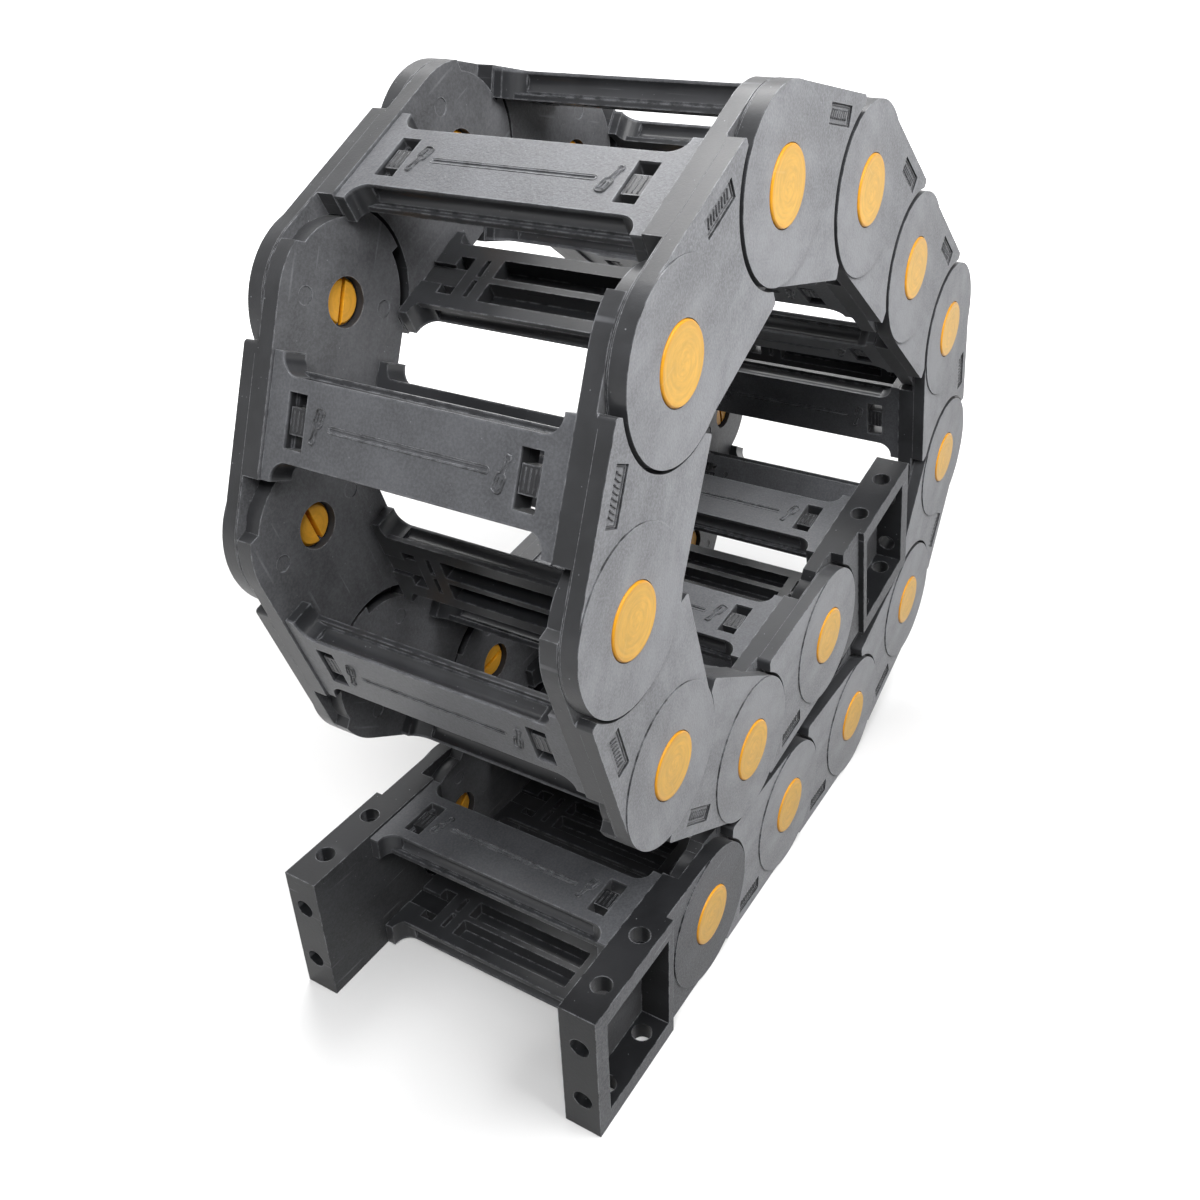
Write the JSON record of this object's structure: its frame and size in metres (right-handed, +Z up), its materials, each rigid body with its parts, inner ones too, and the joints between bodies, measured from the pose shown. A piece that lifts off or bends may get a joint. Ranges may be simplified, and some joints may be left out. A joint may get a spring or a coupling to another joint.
{
  "type": "cable drag chain",
  "caption": "Coiled cable drag chain of hinged plastic links with snap-in hinge pins, clip-on crossbars and a drilled mounting bracket at each end.",
  "frame": {"origin": "on the floor, at the centre of the four bottom holes of the fixed bracket", "axes": "+X along the straight run, from the fixed bracket to the coil; +Y across the chain, from its right side plates to its left ones; +Z up, to the inside of the bend"},
  "size_m": [0.3326, 0.127, 0.2986],
  "materials": {
    "side_plate": "fine matt",
    "crossbar": "fine matt",
    "pin": "satin"
  },
  "bodies": {
    "fixed_bracket": {"fixed_bracket_left_plate": "side_plate", "fixed_bracket_right_plate": "side_plate", "fixed_bracket_crossbars": "crossbar", "hinge_01_pins": "pin"},
    "link_01": {"link_01_left_plate": "side_plate", "link_01_right_plate": "side_plate", "link_01_crossbars": "crossbar", "hinge_02_pins": "pin"},
    "link_02": {"link_02_left_plate": "side_plate", "link_02_right_plate": "side_plate", "link_02_crossbars": "crossbar", "hinge_03_pins": "pin"},
    "link_03": {"link_03_left_plate": "side_plate", "link_03_right_plate": "side_plate", "link_03_crossbars": "crossbar", "hinge_04_pins": "pin"},
    "link_04": {"link_04_left_plate": "side_plate", "link_04_right_plate": "side_plate", "link_04_crossbars": "crossbar", "hinge_05_pins": "pin"},
    "link_05": {"link_05_left_plate": "side_plate", "link_05_right_plate": "side_plate", "link_05_crossbars": "crossbar", "hinge_06_pins": "pin"},
    "link_06": {"link_06_left_plate": "side_plate", "link_06_right_plate": "side_plate", "link_06_crossbars": "crossbar", "hinge_07_pins": "pin"},
    "link_07": {"link_07_left_plate": "side_plate", "link_07_right_plate": "side_plate", "link_07_crossbars": "crossbar", "hinge_08_pins": "pin"},
    "link_08": {"link_08_left_plate": "side_plate", "link_08_right_plate": "side_plate", "link_08_crossbars": "crossbar", "hinge_09_pins": "pin"},
    "link_09": {"link_09_left_plate": "side_plate", "link_09_right_plate": "side_plate", "link_09_crossbars": "crossbar", "hinge_10_pins": "pin"},
    "link_10": {"link_10_left_plate": "side_plate", "link_10_right_plate": "side_plate", "link_10_crossbars": "crossbar", "hinge_11_pins": "pin"},
    "link_11": {"link_11_left_plate": "side_plate", "link_11_right_plate": "side_plate", "link_11_crossbars": "crossbar", "hinge_12_pins": "pin"},
    "link_12": {"link_12_left_plate": "side_plate", "link_12_right_plate": "side_plate", "link_12_crossbars": "crossbar", "hinge_13_pins": "pin"},
    "link_13": {"link_13_left_plate": "side_plate", "link_13_right_plate": "side_plate", "link_13_crossbars": "crossbar", "hinge_14_pins": "pin"},
    "moving_bracket": {"moving_bracket_left_plate": "side_plate", "moving_bracket_right_plate": "side_plate", "moving_bracket_crossbars": "crossbar"}
  },
  "joints": [
    {"name": "hinge_01", "type": "hinge", "parent": "fixed_bracket", "child": "link_01", "pos_m": [0.0543, 0, 0.027], "axis": [0, -1, 0], "range_deg": [0, 36]},
    {"name": "hinge_02", "type": "hinge", "parent": "link_01", "child": "link_02", "pos_m": [0.1213, 0, 0.027], "axis": [0, -1, 0], "range_deg": [0, 41]},
    {"name": "hinge_03", "type": "hinge", "parent": "link_02", "child": "link_03", "pos_m": [0.1883, 0, 0.027], "axis": [0, -1, 0], "range_deg": [-23.4, 0]},
    {"name": "hinge_04", "type": "hinge", "parent": "link_03", "child": "link_04", "pos_m": [0.24979, 0, 0.05361], "axis": [0, -1, 0], "range_deg": [-39.6, 0]},
    {"name": "hinge_05", "type": "hinge", "parent": "link_04", "child": "link_05", "pos_m": [0.28021, 0, 0.11331], "axis": [0, -1, 0], "range_deg": [-41, 0]},
    {"name": "hinge_06", "type": "hinge", "parent": "link_05", "child": "link_06", "pos_m": [0.264, 0, 0.17832], "axis": [0, -1, 0], "range_deg": [-39.8, 0]},
    {"name": "hinge_07", "type": "hinge", "parent": "link_06", "child": "link_07", "pos_m": [0.20993, 0, 0.21789], "axis": [0, -1, 0], "range_deg": [-0.5, 40.5]},
    {"name": "hinge_08", "type": "hinge", "parent": "link_07", "child": "link_08", "pos_m": [0.15552, 0, 0.25698], "axis": [0, -1, 0], "range_deg": [-23.1, 0]},
    {"name": "hinge_09", "type": "hinge", "parent": "link_08", "child": "link_09", "pos_m": [0.09014, 0, 0.2716], "axis": [0, -1, 0], "range_deg": [-39.8, 1.2]},
    {"name": "hinge_10", "type": "hinge", "parent": "link_09", "child": "link_10", "pos_m": [0.03054, 0, 0.24097], "axis": [0, -1, 0], "range_deg": [-40.2, 0.8]},
    {"name": "hinge_11", "type": "hinge", "parent": "link_10", "child": "link_11", "pos_m": [0.0048, 0, 0.17912], "axis": [0, -1, 0], "range_deg": [-41, 0]},
    {"name": "hinge_12", "type": "hinge", "parent": "link_11", "child": "link_12", "pos_m": [0.02595, 0, 0.11554], "axis": [0, -1, 0], "range_deg": [-41, 0]},
    {"name": "hinge_13", "type": "hinge", "parent": "link_12", "child": "link_13", "pos_m": [0.08362, 0, 0.08144], "axis": [0, -1, 0], "range_deg": [-39, 2]},
    {"name": "hinge_14", "type": "hinge", "parent": "link_13", "child": "moving_bracket", "pos_m": [0.1499, 0, 0.09123], "axis": [0, -1, 0], "range_deg": [0, 36.8]}
  ],
  "couplings": [
    {"joint": "hinge_02", "follows": "hinge_03", "ratio": -1},
    {"joint": "hinge_09", "follows": "hinge_04", "ratio": 1.005},
    {"joint": "hinge_11", "follows": "hinge_05", "ratio": 0.3},
    {"joint": "hinge_12", "follows": "hinge_05", "ratio": 0.3},
    {"joint": "hinge_13", "follows": "hinge_06", "ratio": 0.441},
    {"joint": "hinge_10", "follows": "hinge_06", "ratio": 0.606},
    {"joint": "hinge_07", "follows": "hinge_08", "ratio": -0.333}
  ]
}
